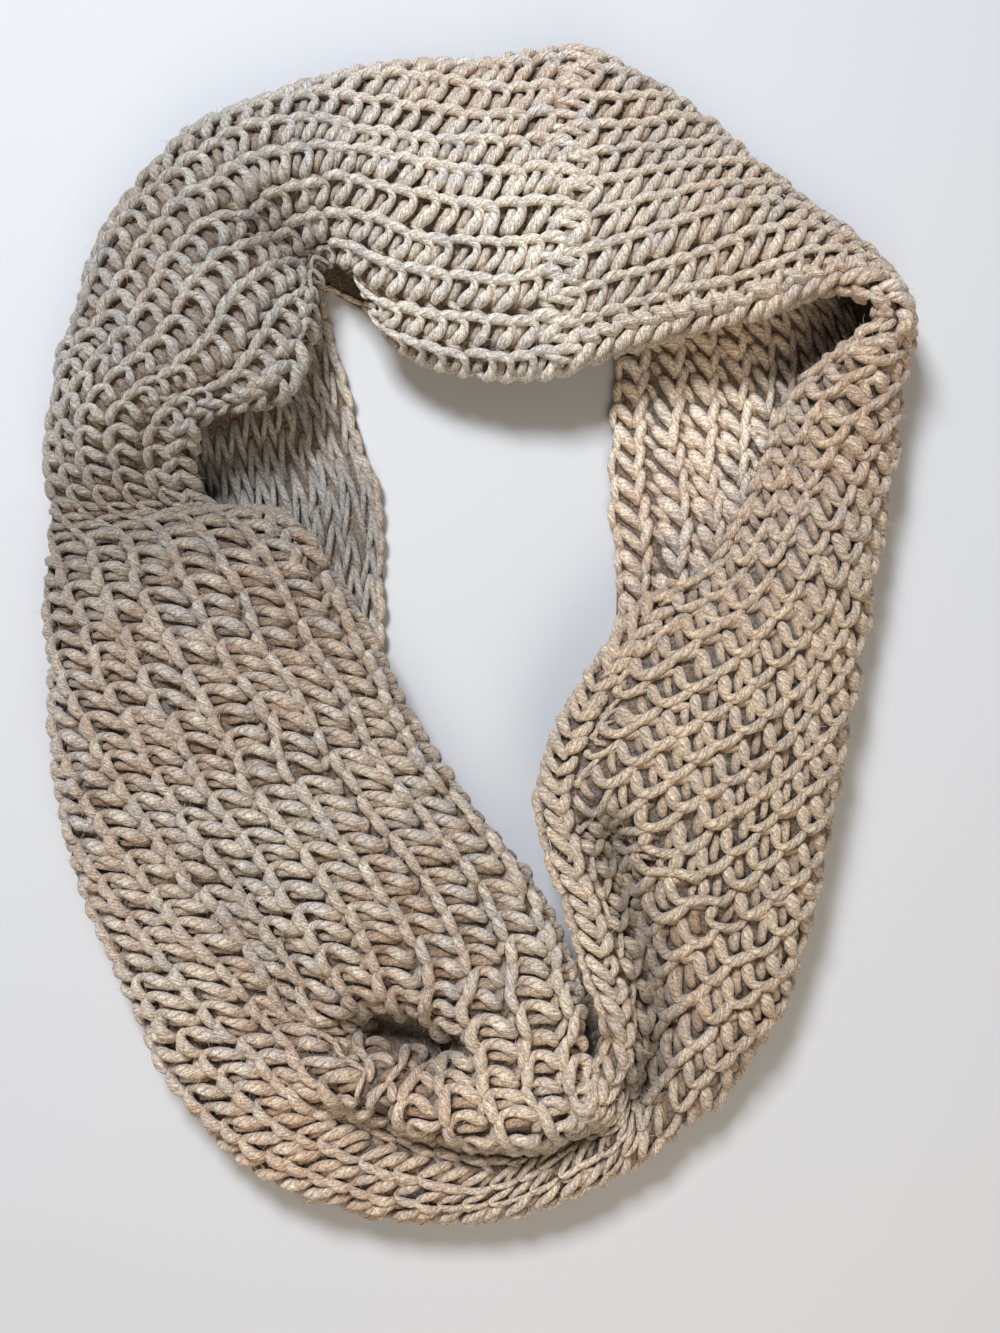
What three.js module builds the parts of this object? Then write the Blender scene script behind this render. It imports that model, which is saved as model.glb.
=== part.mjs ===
// A knitted infinity scarf, lying as it was dropped on a flat surface.
// It is one ribbed band sewn into a loop. The loop has sunk down, so its wall is folded outwards: a section
// across it runs from the rim over the upper layer to the outer fold, and back under it to the hem.
// Millimetres, +Z up, with the surface at z = 0. The neck opening is in the middle of the loop.
import * as THREE from 'three';

// Driving sizes
const RIBS = 20; // ribs across the whole band, counted from the rim to the hem
const WALL = 6; // thickness of the knit between two ribs
const RIB_RISE = 2.6; // a rib's height on the outer face
const COLUMN_RISE = 1.6; // a knit column's height on the inner face
const STRETCH_GAP = 0.3; // gap between two neighbouring stretches
const HEM_PITCH = 14; // width of a rib on the lower layer, near the hem
const LONGEST_STEP = 24; // longest step along the band between two built sections
const CROSSING_RIBS = 0.8; // most ribs that pass over the outer fold within such a step
const SHOULDER_RUN = 9; // distance from the outer fold to the point where the upper layer rounds over
const SHOULDER_SHARE = 0.7; // height of that point, between the fold's and the layer's
const UNDER_RUN = 10; // distance inwards from the outer fold to where the lower layer lies flat
const TROUGH_START = 12; // where the ribs that crowd together beside the rim begin, along the section
const TROUGH_RUN = 26; // and the length that they crowd into
const RIM_BAND = 10; // width along the rim that the folds leave as it is
const KNIT_COLOUR = '#b39a82';

// The sections across the band, counterclockwise from the seam. The rim is the upper layer's free edge, high
// are the upper layer's heights at a quarter, half and three quarters of the way, fold is the outermost reach,
// and hem is the lower layer's free edge. over is the number of ribs on the upper layer, crowd is how many of
// them are squeezed together beside the rim, and bow is how far the section curves sideways.
const section = (name, rim, high, fold, hem, over, crowd = 0, bow = 0) => (
  { name, rim, high, fold, hem, over, crowd, bow }
);
const SECTIONS = [
  section('seam', [32, 101, 36], [48, 50, 42], [46, 259, 18], [34, 129], 11.0),
  section('top left', [-4, 101, 34], [44, 48, 40], [0, 254, 18], [-5, 125], 10.5),
  section('shoulder', [-40, 115, 30], [42, 48, 42], [-37, 252, 18], [-40, 134], 9.0),
  section('fan start', [-55, 142, 28], [40, 50, 46], [-84, 240, 18], [-61, 146], 7.6),
  section('hollow', [-72, 155, 26], [37, 46, 44], [-134, 218, 18], [-72, 151], 6.8),
  section('fan end', [-72, 122, 29], [41, 48, 42], [-169, 174, 18], [-69, 127], 7.2),
  section('ridge', [-78, 83, 40], [50, 52, 44], [-185, 126, 18], [-60, 98], 7.2),
  section('ridge front', [-119, 72, 42], [46, 48, 42], [-194, 82, 17], [-54, 79], 6.2),
  section('step', [-127, 59, 30], [33, 35, 32], [-195, 57, 15], [-51, 68], 6.0),
  section('valley', [-123, 46, 22], [25, 27, 25], [-194, 39, 14], [-48, 56], 6.2),
  section('valley end', [-80, 37, 24], [30, 32, 29], [-193, 20, 15], [-45, 37], 7.2),
  section('left upper', [-62, 11, 32], [42, 46, 40], [-189, -16, 18], [-44, 5], 8.0),
  section('left lower', [-16, -70, 36], [46, 50, 42], [-181, -86, 18], [-46, -76], 9.7),
  section('pocket', [26, -128, 38], [48, 48, 36], [-157, -153, 18], [-41, -120], 11.0),
  section('turn start', [45, -168, 40], [46, 42, 30], [-123, -213, 17], [-22, -141], 12.5),
  section('turn left', [47, -190, 40], [42, 38, 28], [-87, -244, 17], [-2, -156], 13.5, 1.5, 3),
  section('turn bottom', [52, -203, 42], [40, 34, 28], [-20, -261, 17], [20, -165], 14.0, 4.5, 3),
  section('turn right', [59, -198, 42], [38, 32, 28], [47, -250, 17], [35, -162], 14.8, 7.0, 4),
  section('turn end', [63, -176, 44], [40, 34, 30], [81, -230, 17], [47, -152], 15.4, 8.0, 9),
  section('chain edge', [46, -140, 46], [44, 40, 34], [105, -208, 17], [54, -137], 15.6, 6.5, 15),
  section('right lower', [26, -83, 44], [48, 46, 38], [131, -169, 17], [51, -98], 14.4, 2.9, 12),
  section('right middle', [68, -6, 40], [50, 50, 40], [150, -107, 17], [59, -47], 11.0, 0, 3),
  section('right upper', [103, 18, 38], [48, 48, 38], [162, -51, 17], [61, -13], 8.0),
  section('right neck', [126, 65, 36], [46, 46, 38], [173, 9, 17], [62, 23], 6.0),
  section('hood start', [140, 94, 38], [46, 46, 38], [185, 61, 18], [60, 56], 4.7),
  section('hood side', [167, 114, 48], [48, 44, 34], [193, 107, 20], [61, 84], 2.4),
  section('corner', [176, 123, 52], [48, 42, 32], [195, 126, 20], [62, 98], 1.5),
  section('hood end', [160, 132, 50], [50, 46, 36], [185, 151, 20], [63, 110], 2.4),
  section('top right', [122, 124, 42], [50, 50, 40], [133, 198, 18], [61, 122], 5.5),
  section('near seam', [62, 110, 36], [48, 50, 42], [76, 246, 18], [51, 132], 10.0),
];

// The largest soft folds of the upper layer: a line in plan, how wide and how deep (a ridge is positive), and
// the share of the line over which each end fades out.
const FOLDS = [
  {
    name: 'trough beside the rim', width: 13, depth: -11, taper: 0.3,
    line: [[49, -82], [66, -128], [74, -165], [75, -190]],
  },
  {
    name: 'pocket', width: 15, depth: -19, taper: 0,
    line: [[-43, -183], [-19, -178]],
  },
  {
    name: 'lip', width: 12, depth: 6, taper: 0.3,
    line: [[-79, -180], [-60, -205], [-19, -216], [25, -218]],
  },
  {
    name: 'groove', width: 11, depth: -10, taper: 0.25,
    line: [[-105, -103], [-86, -152], [-72, -203], [-31, -225], [17, -229], [53, -222]],
  },
];

// The stretches that the band is built in, from one section to another.
const STRETCHES = [
  { node: 'seam_stretch', from: 'near seam', to: 'shoulder' },
  { node: 'upper_left_stretch', from: 'shoulder', to: 'ridge' },
  { node: 'left_fold_stretch', from: 'ridge', to: 'valley end' },
  { node: 'lower_left_stretch', from: 'valley end', to: 'pocket' },
  { node: 'bottom_turn_stretch', from: 'pocket', to: 'turn end' },
  { node: 'right_stretch', from: 'turn end', to: 'right upper' },
  { node: 'corner_stretch', from: 'right upper', to: 'near seam' },
];

// The control points of a section: the first ones lie on the upper layer, up to the outer fold.
const QUARTERS = [0.25, 0.5, 0.75];
const BOW_SHARES = [1, 0.85, 0.45];
const LOWER_SHARES = [0.45, 0.75];
const UPPER_SPANS = 5;
const LOWER_SPANS = 4;
const SAMPLES_A_SPAN = 14;
const FOLD_FADE = [0.82, 0.98]; // the share of the upper layer where the soft folds fade out

const smooth = (value) => THREE.MathUtils.smoothstep(value, 0, 1);

// A closed curve through one triple of each section, read by the section's place in the table.
function roundTheLoop(triple, type) {
  const points = SECTIONS.map((section) => new THREE.Vector3(...triple(section)));
  const curve = new THREE.CatmullRomCurve3(points, true, type);
  return (place) => curve.getPoint(THREE.MathUtils.euclideanModulo(place, SECTIONS.length) / SECTIONS.length);
}

const rimAt = roundTheLoop((section) => section.rim, 'centripetal');
const foldAt = roundTheLoop((section) => section.fold, 'centripetal');
const hemAt = roundTheLoop((section) => [...section.hem, WALL / 2], 'centripetal');
const heightsAt = roundTheLoop((section) => section.high, 'catmullrom');
const countsAt = roundTheLoop((section) => [section.over, section.crowd, section.bow], 'catmullrom');

// How far a soft fold lifts or sinks the upper layer at a place in plan.
function foldHeight(x, y) {
  let height = 0;
  for (const { line, width, depth, taper } of FOLDS) {
    const lengths = [0];
    for (let i = 1; i < line.length; i += 1) {
      lengths.push(lengths[i - 1] + Math.hypot(line[i][0] - line[i - 1][0], line[i][1] - line[i - 1][1]));
    }
    let nearest = Infinity;
    let along = 0;
    for (let i = 1; i < line.length; i += 1) {
      const [ax, ay] = line[i - 1];
      const [bx, by] = line[i];
      const run = lengths[i] - lengths[i - 1];
      const share = THREE.MathUtils.clamp(((x - ax) * (bx - ax) + (y - ay) * (by - ay)) / run ** 2, 0, 1);
      const distance = Math.hypot(x - ax - share * (bx - ax), y - ay - share * (by - ay));
      if (distance < nearest) {
        nearest = distance;
        along = (lengths[i - 1] + share * run) / lengths.at(-1);
      }
    }
    const ends = taper > 0 ? smooth(along / taper) * smooth((1 - along) / taper) : 1;
    height += depth * ends * Math.exp(-((nearest / width) ** 2));
  }
  return height;
}

// The middle of the wall along one section, from the rim to the hem, as points in order.
function sectionLine(place) {
  const rim = rimAt(place);
  const reach = foldAt(place);
  const hem = hemAt(place);
  const high = heightsAt(place).toArray();
  const bow = countsAt(place).z;
  const outwards = new THREE.Vector2(reach.x - rim.x, reach.y - rim.y);
  const inset = WALL / 2 + RIB_RISE;
  outwards.setLength(outwards.length() - inset);
  const run = outwards.length();
  const fold = new THREE.Vector3(rim.x + outwards.x, rim.y + outwards.y, reach.z);
  const sideways = new THREE.Vector2(-outwards.y, outwards.x).divideScalar(run);
  const inwards = new THREE.Vector2(hem.x - fold.x, hem.y - fold.y);

  const upper = QUARTERS.map((share, i) => new THREE.Vector3(
    rim.x + share * outwards.x + BOW_SHARES[i] * bow * sideways.x,
    rim.y + share * outwards.y + BOW_SHARES[i] * bow * sideways.y,
    high[i],
  ));
  const shoulderShare = 1 - Math.min(SHOULDER_RUN / run, 0.12);
  const shoulder = new THREE.Vector3(
    rim.x + shoulderShare * outwards.x,
    rim.y + shoulderShare * outwards.y,
    THREE.MathUtils.lerp(fold.z, high[2], SHOULDER_SHARE),
  );
  const underShare = Math.min(UNDER_RUN / inwards.length(), 0.3);
  const under = [underShare, ...LOWER_SHARES].map((share, i) => new THREE.Vector3(
    fold.x + share * inwards.x,
    fold.y + share * inwards.y,
    WALL / 2 + (i === 0 ? 1 : 0),
  ));

  const curve = new THREE.CatmullRomCurve3([rim, ...upper, shoulder, fold, ...under, hem]);
  const line = curve.getPoints((UPPER_SPANS + LOWER_SPANS) * SAMPLES_A_SPAN);
  line.forEach((point, i) => {
    const share = i / (UPPER_SPANS * SAMPLES_A_SPAN);
    if (share < 1) {
      const fromRim = Math.hypot(point.x - rim.x, point.y - rim.y);
      const fade = 1 - THREE.MathUtils.smoothstep(share, ...FOLD_FADE);
      point.z += foldHeight(point.x, point.y) * fade * smooth(fromRim / RIM_BAND);
    }
    point.z = Math.max(point.z, WALL / 2);
  });
  return line;
}

// A function that gives the point of a section at a rib count from the rim.
function ribPlaces(place) {
  const line = sectionLine(place);
  const { x: over, y: crowd } = countsAt(place);
  const along = [0];
  for (let i = 1; i < line.length; i += 1) {
    along.push(along[i - 1] + line[i].distanceTo(line[i - 1]));
  }
  const foldAlong = along[UPPER_SPANS * SAMPLES_A_SPAN];
  const lowerRun = along.at(-1) - foldAlong;
  const lowerRibs = RIBS - over;
  const squeeze = THREE.MathUtils.clamp(1 - lowerRun / (HEM_PITCH * lowerRibs), 0, 0.6);
  const counts = along.map((distance) => {
    if (distance <= foldAlong) {
      const crowded = smooth((distance - TROUGH_START) / TROUGH_RUN);
      return (distance / foldAlong) * (over - crowd) + crowd * crowded;
    }
    const fromHem = (along.at(-1) - distance) / lowerRun;
    return RIBS - lowerRibs * ((1 - squeeze) * fromHem + squeeze * fromHem ** 3);
  });
  return (count) => {
    let i = 1;
    while (i < counts.length - 1 && counts[i] < count) i += 1;
    const share = (count - counts[i - 1]) / (counts[i] - counts[i - 1]);
    return line[i - 1].clone().lerp(line[i], THREE.MathUtils.clamp(share, 0, 1));
  };
}

// The rib counts of the points on the wall's two faces: three to a rib where ribs show, fewer where not.
function faceCounts(spans) {
  const counts = [];
  let from = 0;
  for (const { to, points } of spans) {
    for (let i = 0; i < (to - from) * points; i += 1) {
      counts.push(from + i / points);
    }
    from = to;
  }
  counts.push(from);
  return counts;
}

const OUTER_COUNTS = faceCounts([{ to: 16, points: 3 }, { to: RIBS, points: 1 }]);
const INNER_COUNTS = faceCounts([{ to: 9, points: 1 }, { to: RIBS, points: 2 }]);

const LOOP_STEP = 0.05; // the step along the loop, in sections, that a face's slope is taken over
const RIB_STEP = 0.4; // and the step across it, in ribs
const FULL_PITCH = 9; // a rib this wide stands out fully
const CROWDED_PITCH = 4; // and one this narrow lies flat among its neighbours

// The outer and inner points of the wall at one section.
function wallAt(place) {
  const [before, here, after] = [place - LOOP_STEP, place, place + LOOP_STEP].map(ribPlaces);
  const between = (low, high) => here(Math.min(RIBS, high)).sub(here(Math.max(0, low)));
  const pitchAt = (count) => between(count - 0.5, count + 0.5).length();
  const outwardsAt = (count) => {
    const step = RIB_STEP * Math.max(1, FULL_PITCH / pitchAt(count));
    const across = between(count - step, count + step);
    const along = after(count).sub(before(count));
    return across.cross(along).normalize();
  };
  const rise = (count) => {
    const room = smooth((pitchAt(count) - CROWDED_PITCH) / (FULL_PITCH - CROWDED_PITCH));
    return Number.isInteger(count) ? 0 : room;
  };
  const outer = OUTER_COUNTS.map((count) => {
    const point = here(count).addScaledVector(outwardsAt(count), WALL / 2 + RIB_RISE * rise(count));
    point.z = Math.max(0, point.z);
    return point;
  });
  const inner = INNER_COUNTS.map((count) => {
    const liesFlat = here(count).z < WALL;
    const column = liesFlat ? COLUMN_RISE * rise(count) : 0;
    const point = here(count).addScaledVector(outwardsAt(count), -WALL / 2 - column);
    point.z = Math.max(WALL / 2, point.z);
    return point;
  });
  const along = (count) => after(count).sub(before(count)).normalize();
  return { outer, inner, along };
}

// Moves a stretch's end section a little into the stretch, so that two stretches stay apart.
function moveAlong(wall, distance) {
  wall.outer.forEach((point, i) => point.addScaledVector(wall.along(OUTER_COUNTS[i]), distance));
  wall.inner.forEach((point, i) => point.addScaledVector(wall.along(INNER_COUNTS[i]), distance));
  wall.outer.forEach((point) => point.setZ(Math.max(0, point.z)));
}

// The places along the loop where a stretch has a section.
function stretchPlaces(from, to) {
  const first = SECTIONS.findIndex((section) => section.name === from);
  const last = SECTIONS.findIndex((section) => section.name === to);
  const count = THREE.MathUtils.euclideanModulo(last - first, SECTIONS.length);
  const places = [];
  for (let i = first; i < first + count; i += 1) {
    const run = Math.max(foldAt(i).distanceTo(foldAt(i + 1)), rimAt(i).distanceTo(rimAt(i + 1)));
    const crossing = Math.abs(countsAt(i + 1).x - countsAt(i).x);
    const steps = Math.ceil(Math.max(run / LONGEST_STEP, crossing / CROSSING_RIBS));
    for (let k = 0; k < steps; k += 1) {
      places.push(i + k / steps);
    }
  }
  places.push(first + count);
  return places;
}

// One stretch of the band as a closed wall.
function stretchGeometry(from, to) {
  const walls = stretchPlaces(from, to).map(wallAt);
  moveAlong(walls[0], STRETCH_GAP / 2);
  moveAlong(walls.at(-1), -STRETCH_GAP / 2);
  const positions = [];
  for (const { outer, inner } of walls) {
    for (const point of [...outer, ...inner.toReversed()]) {
      positions.push(point.x, point.y, point.z);
    }
  }
  const ring = OUTER_COUNTS.length + INNER_COUNTS.length;
  const index = [];
  for (let k = 0; k < walls.length - 1; k += 1) {
    for (let i = 0; i < ring; i += 1) {
      const next = (i + 1) % ring;
      const [a, b, c, d] = [k * ring + i, k * ring + next, (k + 1) * ring + next, (k + 1) * ring + i];
      index.push(a, b, c, a, c, d);
    }
  }
  addEnd(index, 0, ring, true);
  addEnd(index, (walls.length - 1) * ring, ring, false);
  const geometry = new THREE.BufferGeometry();
  geometry.setAttribute('position', new THREE.Float32BufferAttribute(positions, 3));
  geometry.setIndex(index);
  geometry.computeVertexNormals();
  return geometry;
}

// Closes a stretch's end with a strip of triangles between its outer and its inner points.
function addEnd(index, first, ring, atStart) {
  let outer = 0;
  let inner = 0;
  const outerIndex = (i) => first + i;
  const innerIndex = (i) => first + ring - 1 - i;
  const push = (a, b, c) => (atStart ? index.push(a, c, b) : index.push(a, b, c));
  while (outer < OUTER_COUNTS.length - 1 || inner < INNER_COUNTS.length - 1) {
    const nextOuter = OUTER_COUNTS[outer + 1] ?? Infinity;
    const nextInner = INNER_COUNTS[inner + 1] ?? Infinity;
    if (nextOuter <= nextInner) {
      push(outerIndex(outer), outerIndex(outer + 1), innerIndex(inner));
      outer += 1;
    } else {
      push(outerIndex(outer), innerIndex(inner + 1), innerIndex(inner));
      inner += 1;
    }
  }
}

const scarf = new THREE.Group();
scarf.name = 'infinity_scarf';
for (const { node, from, to } of STRETCHES) {
  const knit = new THREE.MeshStandardMaterial({ color: KNIT_COLOUR, roughness: 0.95, metalness: 0 });
  const stretch = new THREE.Mesh(stretchGeometry(from, to), knit);
  stretch.name = node;
  scarf.add(stretch);
}

export default scarf;
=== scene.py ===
"""A knitted infinity scarf lying on a surface, made stitch by stitch.

The band's form is worked out from sections close to those of its solids. A plain backing follows that
form, and loops of spun yarn lie on it: hooked loops along each rib of the outer face, V-shaped columns on
the inner face, a chain along the rim, and the sewing of the seam. Lengths are in millimetres until a mesh
is made, which is in metres.
"""

import math

import bpy
import numpy as np
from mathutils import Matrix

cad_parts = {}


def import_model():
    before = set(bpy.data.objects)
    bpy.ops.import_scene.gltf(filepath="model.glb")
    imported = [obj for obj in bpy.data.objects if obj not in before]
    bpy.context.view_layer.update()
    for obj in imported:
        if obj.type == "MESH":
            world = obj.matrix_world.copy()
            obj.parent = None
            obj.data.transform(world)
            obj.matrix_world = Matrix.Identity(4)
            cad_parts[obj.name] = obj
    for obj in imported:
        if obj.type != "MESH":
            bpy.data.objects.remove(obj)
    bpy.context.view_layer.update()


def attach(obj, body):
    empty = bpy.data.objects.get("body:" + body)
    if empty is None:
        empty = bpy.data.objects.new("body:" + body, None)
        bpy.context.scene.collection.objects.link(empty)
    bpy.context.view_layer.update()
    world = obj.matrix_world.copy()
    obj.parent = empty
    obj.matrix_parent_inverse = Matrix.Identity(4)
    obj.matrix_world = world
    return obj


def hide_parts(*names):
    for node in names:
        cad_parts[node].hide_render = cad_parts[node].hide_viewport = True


MM = 0.001

# The band: its counts and sizes, mostly as its solids have them.
RIBS = 20
WALL = 6.0
RIB_RISE = 2.6
HEM_PITCH = 16.0
MOST_SQUEEZE = 0.6
SHOULDER_RUN, MOST_SHOULDER = 9.0, 0.12
SHOULDER_SHARE = 0.7
UNDER_RUN, MOST_UNDER = 10.0, 0.3
UNDER_LIFT = 1.0
CREASE_RUN = 3.0
RIM_BAND = 10.0
FOLD_FADE = (0.82, 0.98)
QUARTERS = (0.25, 0.5, 0.75)
BOW_SHARES = (1.0, 0.85, 0.45)
LOWER_SHARES = (0.45, 0.75)
UPPER_SPANS = 5
SAMPLES_A_SPAN = 14

# How the band is read: where its length is measured, the steps to a stitch and to a rib, and the rim's roll.
STITCHES = 112
PLACES_A_SECTION = 24
MEASURED_COUNTS = (1.0, 3.0, 5.0, 7.0, 9.0, 11.0)
STEPS_A_STITCH = 6
STEPS_A_RIB = 8
ROLL_START = 0.45
ROLL_PITCH = 11.0
ROLL_RADIUS = 4.0
MOST_ROLL = 2.9

# The length of a stitch: on the ribs, by places round the loop counted in sections, and elsewhere.
STITCH_RUNS = ((0, 9.5), (3, 9.8), (15, 9.8), (17, 10.5), (19, 12.0), (25, 12.0), (27, 10.5), (30, 9.5))
COLUMN_STITCH_RUN = 11.5
STRETCHED_STITCH_RUN = 16.5
CHAIN_STITCH_RUN = 8.5

# The yarn, and how a stitch fits the width that its rib has. Shifts are in ribs, and slants in stitches.
YARN_RADIUS = 2.05
USUAL_PITCH = 12.5
NO_ROOM_PITCH = 4.5
LEAST_ROOM, MOST_ROOM = 0.42, 1.15
LEG_REACH = 13.5
LEG_END = 0.62
SEAM_SHIFT = 0.5
RIB_SHIFT = -0.4
MOST_SLANT = 0.45

# The kinds of loop by place: each grows between the first two places and fades between the last two.
UPRIGHT_PLACES = (18.0, 20.0, 26.0, 28.0)
RAILED_PLACES = (9.5, 11.5, 15.0, 17.0)
FULL_TUCK_PLACES = (-0.6, 0.2, 2.6, 3.8)
FULL_TUCK = (-0.06, 0.0, 0.20, 0.08)
UPRIGHT_LIFT = 0.28

# Unevenness: slow changes of tension over the band, loose single stitches, and thick and thin yarn.
SEED = 11
TENSION_CELLS = (45, 13)
TENSION_MOVES = (0.13, 0.07, 0.16)
LOOSE_MOVES = (0.065, 0.045, 0.13)
STITCH_GIRTH_SPREAD = 0.07
SLUB_SPREAD = 0.06

# Yarn thins by this power of the room it has, and lies at least this share of its radius over the surface.
THINNING = 0.7
LOWEST_YARN = 0.9

# Sections across the band, counterclockwise from the seam: the rim's place, the upper layer's heights at the
# quarters, the outermost reach, the hem's place, the ribs on the upper layer, the ribs that vanish into a
# crease, the crease's distance from the rim, and the bow.
SECTIONS = (
    ("seam", (32, 101, 36), (48, 50, 42), (46, 259, 18), (34, 129), 11.0, 0.0, 12, 0),
    ("top left", (-4, 101, 34), (44, 48, 40), (0, 254, 18), (-5, 125), 10.5, 0.0, 12, 0),
    ("shoulder", (-40, 115, 30), (42, 48, 42), (-37, 252, 18), (-40, 134), 10.2, 0.3, 7, 0),
    ("fan start", (-55, 142, 28), (40, 50, 46), (-84, 240, 18), (-61, 146), 9.6, 1.2, 5, 0),
    ("hollow", (-72, 155, 26), (37, 46, 44), (-134, 218, 18), (-72, 151), 8.8, 2.2, 4, 0),
    ("fan end", (-73, 124, 30), (41, 48, 42), (-169, 174, 18), (-69, 127), 8.0, 0.5, 5, 0),
    ("ridge", (-85, 86, 40), (50, 52, 44), (-185, 126, 18), (-60, 98), 7.4, 0.0, 6, 0),
    ("ridge front", (-117, 76, 42), (46, 48, 42), (-194, 82, 17), (-54, 79), 6.2, 0.0, 12, 0),
    ("step", (-126, 61, 30), (33, 35, 32), (-195, 57, 15), (-51, 68), 6.0, 0.0, 12, 0),
    ("valley", (-121, 45, 22), (25, 27, 25), (-194, 39, 14), (-48, 56), 6.2, 0.0, 12, 0),
    ("valley end", (-84, 37, 24), (30, 32, 29), (-193, 20, 15), (-45, 37), 7.2, 0.0, 12, 0),
    ("left upper", (-62, 11, 32), (42, 46, 40), (-189, -16, 18), (-44, 5), 8.0, 0.0, 60, 0),
    ("left lower", (-16, -70, 36), (46, 50, 42), (-181, -86, 18), (-46, -76), 9.7, 0.0, 130, 0),
    ("pocket", (28, -128, 38), (48, 48, 36), (-157, -153, 18), (-41, -120), 11.0, 0.0, 130, 0),
    ("turn start", (42, -168, 40), (46, 42, 30), (-123, -213, 17), (-22, -141), 11.8, 0.9, 116, 0),
    ("turn left", (43, -190, 40), (42, 38, 28), (-87, -244, 17), (-2, -156), 12.2, 3.6, 74, 3),
    ("turn bottom", (46, -205, 42), (40, 34, 28), (-20, -261, 17), (20, -165), 12.4, 5.6, 36, 3),
    ("turn right", (50, -200, 42), (38, 32, 28), (47, -250, 17), (35, -162), 13.0, 7.2, 14, 4),
    ("turn end", (51, -176, 44), (40, 34, 30), (81, -230, 17), (47, -152), 13.8, 7.6, 12, 9),
    ("chain edge", (40, -140, 46), (44, 40, 34), (105, -208, 17), (54, -137), 14.4, 6.1, 12, 15),
    ("right lower", (26, -83, 44), (48, 46, 38), (131, -169, 17), (51, -98), 13.6, 2.8, 12, 12),
    ("right middle", (68, -6, 40), (50, 50, 40), (150, -107, 17), (59, -47), 10.8, 0.0, 12, 3),
    ("right upper", (103, 18, 28), (42, 46, 38), (162, -51, 17), (61, -13), 8.0, 0.0, 12, 0),
    ("right neck", (126, 65, 21), (38, 44, 38), (173, 9, 17), (62, 23), 6.0, 0.0, 12, 0),
    ("hood start", (140, 94, 23), (37, 42, 36), (185, 61, 18), (60, 56), 4.7, 0.0, 12, 0),
    ("hood side", (165, 114, 36), (44, 44, 34), (193, 107, 20), (61, 84), 2.4, 0.0, 12, 0),
    ("corner", (176, 123, 52), (48, 42, 32), (195, 126, 20), (62, 98), 1.5, 0.0, 12, 0),
    ("hood end", (160, 132, 50), (50, 46, 36), (185, 151, 20), (63, 110), 2.4, 0.0, 12, 0),
    ("top right", (122, 124, 42), (50, 50, 40), (133, 198, 18), (61, 122), 5.5, 0.0, 12, 0),
    ("near seam", (62, 110, 36), (48, 50, 42), (76, 246, 18), (51, 132), 10.0, 0.0, 12, 0),
)

# The largest soft folds of the upper layer: width, depth (a ridge is positive), the share of the line over
# which each end fades out, and the line in plan.
FOLDS = (
    ("chain crease", 9.0, -25.0, 0.12, (
        (49, -84), (60, -115), (69, -145), (73, -170), (72, -192), (67, -207), (57, -218),
    )),
    ("lip crease", 7.5, -15.0, 0.15, (
        (62, -216), (49, -223), (25, -229), (1, -229), (-23, -225), (-52, -216), (-72, -205),
    )),
    ("pocket", 11.0, -27.0, 0.0, ((-44, -180), (-28, -182), (-18, -187))),
    ("lip", 10.0, 8.0, 0.2, ((-78, -188), (-60, -202), (-31, -211), (-7, -217), (17, -219), (39, -216))),
    ("bend", 11.0, -11.0, 0.35, ((-70, 139), (-80, 152), (-94, 164), (-109, 175))),
    ("groove", 12.0, -7.0, 0.25, ((-109, -108), (-94, -140), (-81, -168), (-72, -195))),
)

# The stretches of the band, each from one section to the next one named.
STRETCHES = (
    ("seam_stretch", "near seam"),
    ("upper_left_stretch", "shoulder"),
    ("left_fold_stretch", "ridge"),
    ("lower_left_stretch", "valley end"),
    ("bottom_turn_stretch", "pocket"),
    ("right_stretch", "turn end"),
    ("corner_stretch", "right upper"),
)

# The yarn's way through one stitch: along the rib in stitches, across it in ribs, the height over the
# backing, and the thickness.
HOOKED_LOOP = (
    (0.64, 0.02, -0.70, 0.60),
    (0.52, 0.10, 0.50, 0.95),
    (0.36, 0.21, 1.10, 1.14),
    (0.20, 0.34, 1.18, 1.16),
    (0.05, 0.50, 0.92, 1.00),
    (-0.02, 0.67, 0.88, 0.92),
    (0.14, 0.81, 1.15, 1.00),
    (0.54, 0.86, 1.28, 1.08),
    (0.93, 0.85, 0.92, 0.96),
    (1.20, 0.79, 0.00, 0.66),
)
RAILED_LOOP = (
    (0.92, 0.02, -0.70, 0.60),
    (0.78, 0.10, 0.50, 0.95),
    (0.57, 0.21, 1.08, 1.16),
    (0.35, 0.34, 1.12, 1.18),
    (0.13, 0.50, 0.72, 1.00),
    (0.00, 0.67, 0.50, 0.86),
    (0.14, 0.80, 0.95, 0.92),
    (0.54, 0.85, 1.34, 1.16),
    (0.94, 0.85, 1.05, 0.98),
    (1.22, 0.80, 0.10, 0.64),
)
UPRIGHT_LOOP = (
    (0.40, 0.02, -0.65, 0.60),
    (0.30, 0.11, 0.45, 1.05),
    (0.19, 0.23, 1.05, 1.32),
    (0.09, 0.37, 1.15, 1.38),
    (0.01, 0.53, 1.00, 1.22),
    (0.01, 0.69, 1.05, 1.06),
    (0.18, 0.83, 1.28, 1.05),
    (0.55, 0.88, 1.22, 1.06),
    (0.92, 0.86, 0.85, 0.94),
    (1.18, 0.80, -0.05, 0.64),
)
TUCKED_LOOP = (
    (0.98, 0.10, -0.50, 0.78),
    (0.82, 0.26, 0.12, 1.00),
    (0.63, 0.44, 0.30, 1.05),
    (0.50, 0.62, 0.12, 0.95),
    (0.44, 0.76, -0.50, 0.70),
)
PURL_BAR = (
    (0.10, 0.86, -0.40, 0.75),
    (0.30, 0.95, 0.35, 0.95),
    (0.58, 1.06, 0.45, 1.00),
    (0.84, 1.20, -0.40, 0.75),
)
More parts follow.
